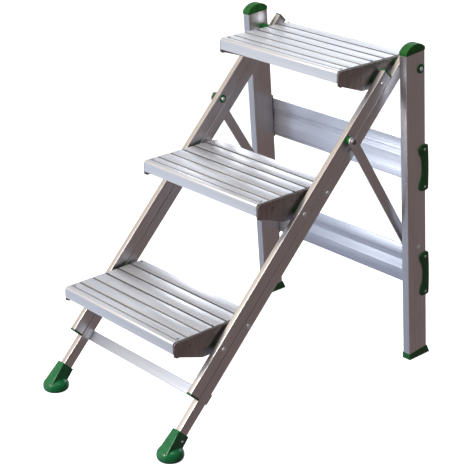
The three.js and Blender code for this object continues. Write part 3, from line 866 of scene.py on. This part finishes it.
def deck_screw(x, y, z):
    """Shallow flat head with a cross recess."""
    head = block(arc((0, 0), DECK_SCREW["radius"], 0, 345, 23), 0, DECK_SCREW["thickness"], 0.3, 1)
    slots = [box((-1.5, -0.35, 0.2), (1.5, 0.35, 1)), box((-0.35, -1.5, 0.2), (0.35, 1.5, 1))]
    return moved(carved(head, *slots), x, y, z)


def deck_screws():
    """Six dark screws that hold the deck to its end plates, sunk into it but for a little."""
    z = DECK_SCREW["proud"] - DECK_SCREW["thickness"] - REAR_PIVOT_Z
    x = TREAD_HALF - DECK_SCREW["inset"]
    return joined(*(deck_screw(side * x, y - REAR_PIVOT_Y, z)
                    for side in (RIGHT, LEFT) for y in DECK_SCREW["rows"]))


def plate_screw():
    """Low head on the outer face of an end plate."""
    return dome(3, 0.9, PLATE_OUTER, PLATE_SCREW["behind_nose"] - REAR_PIVOT_Y,
                -PLATE_SCREW["below_top"] - REAR_PIVOT_Z)


def add_treads():
    for name in TREADS:
        body = f"{name}_tread"
        where = TREAD_PLACES[name]
        deck = add_piece(f"{body}_deck_surface", tread_deck(), where, body, DECK_ALUMINIUM,
                         (f"{body}_deck",), sharp=24)
        # painted shade in the deck's grooves
        paint_groove_shade(deck)
        # end plates in the darker aluminium that paints in their shade
        add_pair(f"{body}_end_plate", end_plate, where, body, SHADED_PLATE_ALUMINIUM)
        add_piece(f"{body}_deck_screws", deck_screws(), where, body, DARK_STEEL)
        add_pair(f"{body}_plate_screw", plate_screw, where, body, DARK_STEEL, nodes=False)


# ---- Struts --------------------------------------------------------------------------------------
def strut_bar():
    half = STRUT["width"] / 2
    outline = arc((0, STRUT_LENGTH), half, 0, 180, 20) + arc((0, 0), half, 180, 360, 20)
    return slab(outline, STRUT["x"], STRUT["x"] + STRUT["thickness"], edge=0.7, steps=2)


def add_struts():
    """Struts, each with a washer and a domed nut over its upper end."""
    body = "struts"
    face = STRUT["x"] + STRUT["thickness"] + GAP
    nut_face = face + 1.5
    add_pair("strut", strut_bar, STRUTS, body, BAR_ALUMINIUM)
    add_pair("strut_upper_nut", lambda: dome(6.3, 4.8, nut_face, 0, STRUT_LENGTH),
             STRUTS, body, DARK_STEEL)
    add_pair("strut_upper_nut_washer", lambda: ring(9, LARGE_BOLT, face, nut_face, 0.5, 0, STRUT_LENGTH),
             STRUTS, body, ZINC, nodes=False)


add_rear_frame()
add_climbing_frame()
add_front_rails()
add_treads()
add_struts()


# ---- Stage, light and camera ---------------------------------------------------------------------
def add_floor():
    """Wide white floor that glows evenly, hidden from reflections and diffuse rays."""
    reach = 30
    mesh = bpy.data.meshes.new("floor")
    corners = [(-reach, -reach, 0), (reach, -reach, 0), (reach, reach, 0), (-reach, reach, 0)]
    mesh.from_pydata(corners, [], [(0, 1, 2, 3)])
    material = bpy.data.materials.new("floor")
    material.use_nodes = True
    shader = material.node_tree.nodes["Principled BSDF"]
    shader.inputs["Base Color"].default_value = (0.93, 0.93, 0.93, 1)
    shader.inputs["Roughness"].default_value = 0.9
    shader.inputs["Specular IOR Level"].default_value = 0.1
    shader.inputs["Emission Color"].default_value = (1, 1, 1, 1)
    shader.inputs["Emission Strength"].default_value = 1.0
    mesh.materials.append(material)
    floor = new_object("floor", mesh)
    floor.visible_glossy = False
    floor.visible_diffuse = False


def add_world():
    """Pale surroundings with a bright band in the sky behind the ladder, dark and brown on the +X side.

    The camera sees plain white, and diffuse rays get less light than reflections.
    """
    world = bpy.data.worlds.new("studio")
    bpy.context.scene.world = world
    world.use_nodes = True
    nodes = Nodes(world.node_tree)
    background = nodes.tree.nodes["Background"]
    where = nodes.add("ShaderNodeTexCoord")
    split = nodes.add("ShaderNodeSeparateXYZ")
    nodes.link(where.outputs["Generated"], split.inputs[0])

    def ramp(axis, start, end):
        """Rises smoothly from 0 to 1 as the direction's share along an axis goes from start to end."""
        node = nodes.add("ShaderNodeMapRange", interpolation_type="SMOOTHSTEP")
        node.inputs["From Min"].default_value = start
        node.inputs["From Max"].default_value = end
        nodes.link(split.outputs[axis], node.inputs["Value"])
        return node.outputs["Result"]

    mix = nodes.mixed
    side = ramp("X", -0.25, 0.4)
    floor_glow = mix(ramp("Z", -0.28, -0.58), (0.66, 0.76, 0.92), (0.35, 0.38, 0.48))
    ground = mix(side, floor_glow, (0.21, 0.165, 0.16))
    low_sky = mix(ramp("Z", 0.26, 0.42), (0.6, 0.63, 0.7), (2.7, 2.8, 2.9))
    rear_sky = mix(ramp("Z", 0.52, 0.7), low_sky, (0.4, 0.42, 0.48))
    behind = mix(ramp("X", -0.85, -0.45), (0.38, 0.4, 0.48), rear_sky)
    open_sky = mix(ramp("Y", -0.1, 0.5), (0.92, 0.8, 0.68), behind)
    sky = mix(side, open_sky, (0.14, 0.12, 0.12))
    surroundings = mix(ramp("Z", 0.08, -0.2), sky, ground)

    ray = nodes.add("ShaderNodeLightPath")
    colour = mix(ray.outputs["Is Camera Ray"], surroundings, (1.0, 1.0, 1.0))
    nodes.link(colour, background.inputs["Color"])
    strength = nodes.add("ShaderNodeMapRange")
    strength.inputs["To Min"].default_value = 1.0
    strength.inputs["To Max"].default_value = 0.4
    nodes.link(ray.outputs["Is Diffuse Ray"], strength.inputs["Value"])
    nodes.link(strength.outputs["Result"], background.inputs["Strength"])


def add_softbox(name, direction, distance, size, power, colour, aim=(0, 0, 0.4)):
    """Square light that faces a point of the ladder from a direction, hidden from the camera."""
    data = bpy.data.lights.new(name, "AREA")
    data.shape = "SQUARE"
    data.size = size
    data.energy = power
    data.color = colour
    light = new_object(name, data)
    toward = Vector(direction).normalized()
    light.location = Vector(aim) + toward * distance
    light.visible_camera = False
    light.rotation_mode = "QUATERNION"
    light.rotation_quaternion = toward.to_track_quat("Z", "Y")
    return light


def add_lights():
    """Key from the front, a low light behind the treads, one for the cross panels, and a soft top."""
    add_softbox("key", (-0.12, -0.8, 0.58), distance=3.0, size=1.2, power=52, colour=(1.0, 0.99, 0.98))
    add_softbox("low_rear", (-0.5, 0.46, 0.1), distance=0.85, size=0.42, power=1.6,
                colour=(0.93, 0.96, 1.0), aim=(0.12, 0, 0.45))
    panel_light = add_softbox("panels", (-0.54, -0.64, -0.44), distance=0.95, size=0.3, power=0.8,
                              colour=(0.92, 0.96, 1.0), aim=(0.22, 0.36, 0.46))
    receivers = bpy.data.collections.new("panel_light_receivers")
    for level in PANEL_CENTRES:
        receivers.objects.link(bpy.data.objects[f"{level}_cross_panel_surface"])
    panel_light.light_linking.receiver_collection = receivers
    add_softbox("top", (0.35, -0.15, 1.0), distance=1.4, size=0.6, power=3, colour=(0.97, 0.98, 1.0))


def add_camera():
    """Three-quarter view from the front right, a little above the top tread."""
    azimuth = math.radians(47.444)
    elevation = math.radians(22.963)
    distance = 3.165
    target = LEG_PIVOT + Vector((0, -0.3085, -0.3807))
    back = Vector((math.sin(azimuth) * math.cos(elevation), -math.cos(azimuth) * math.cos(elevation),
                   math.sin(elevation)))
    data = bpy.data.cameras.new("camera")
    data.sensor_width = 36
    data.lens = 107.85
    data.clip_start = 0.1
    camera = new_object("camera", data)
    camera.location = target + back * distance
    camera.rotation_mode = "QUATERNION"
    camera.rotation_quaternion = back.to_track_quat("Z", "Y")
    bpy.context.scene.camera = camera


add_floor()
add_world()
add_lights()
add_camera()
bpy.context.scene.view_settings.view_transform = "Standard"
